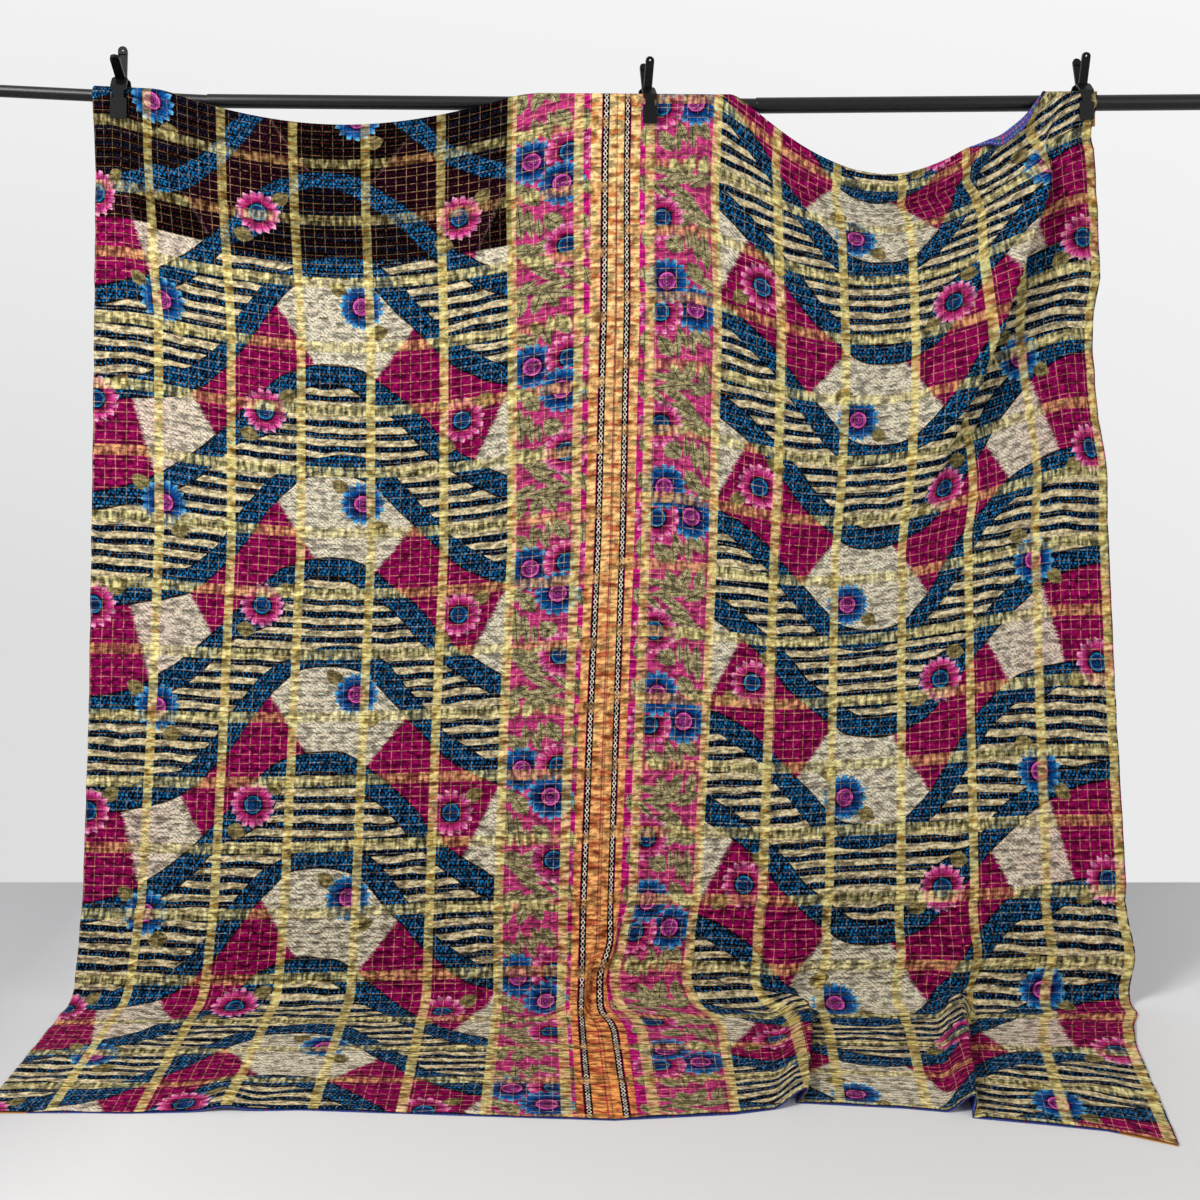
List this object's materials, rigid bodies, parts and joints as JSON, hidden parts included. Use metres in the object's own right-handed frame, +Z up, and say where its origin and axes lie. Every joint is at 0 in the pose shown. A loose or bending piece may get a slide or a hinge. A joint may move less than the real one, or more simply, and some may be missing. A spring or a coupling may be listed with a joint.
{
  "type": "kantha quilt on a telescopic rod with clips",
  "caption": "Printed kantha quilt clipped to a black telescopic rod, hanging in soft bays to the floor and lying forward along it.",
  "frame": {"origin": "floor level, under the middle of the whole thing", "axes": "+X along the rod to the right as seen from the quilt's face, +Y from the quilt's face to its back, +Z up"},
  "size_m": [3.0114, 0.6606, 2.0906],
  "materials": {
    "printed_sari": "soft printed cotton, quilted",
    "backing_cloth": "soft dyed cotton",
    "painted_steel": "satin black",
    "black_plastic": "satin",
    "rubber": "matte",
    "spring_steel": "satin"
  },
  "bodies": {
    "root": {"front_panel_left": "printed_sari", "front_panel_right": "printed_sari", "backing": "backing_cloth", "rod_section_left": "painted_steel", "rod_section_middle": "painted_steel", "rod_section_right": "painted_steel", "rod_cap_left": "black_plastic", "rod_cap_right": "black_plastic", "clip_left_lever_front": "black_plastic", "clip_left_lever_back": "black_plastic", "clip_left_pad_front": "rubber", "clip_left_pad_back": "rubber", "clip_left_pin": "spring_steel", "clip_left_spring": "spring_steel", "clip_middle_lever_front": "black_plastic", "clip_middle_lever_back": "black_plastic", "clip_middle_pad_front": "rubber", "clip_middle_pad_back": "rubber", "clip_middle_pin": "spring_steel", "clip_middle_spring": "spring_steel", "clip_right_lever_front": "black_plastic", "clip_right_lever_back": "black_plastic", "clip_right_pad_front": "rubber", "clip_right_pad_back": "rubber", "clip_right_pin": "spring_steel", "clip_right_spring": "spring_steel"}
  },
  "joints": []
}
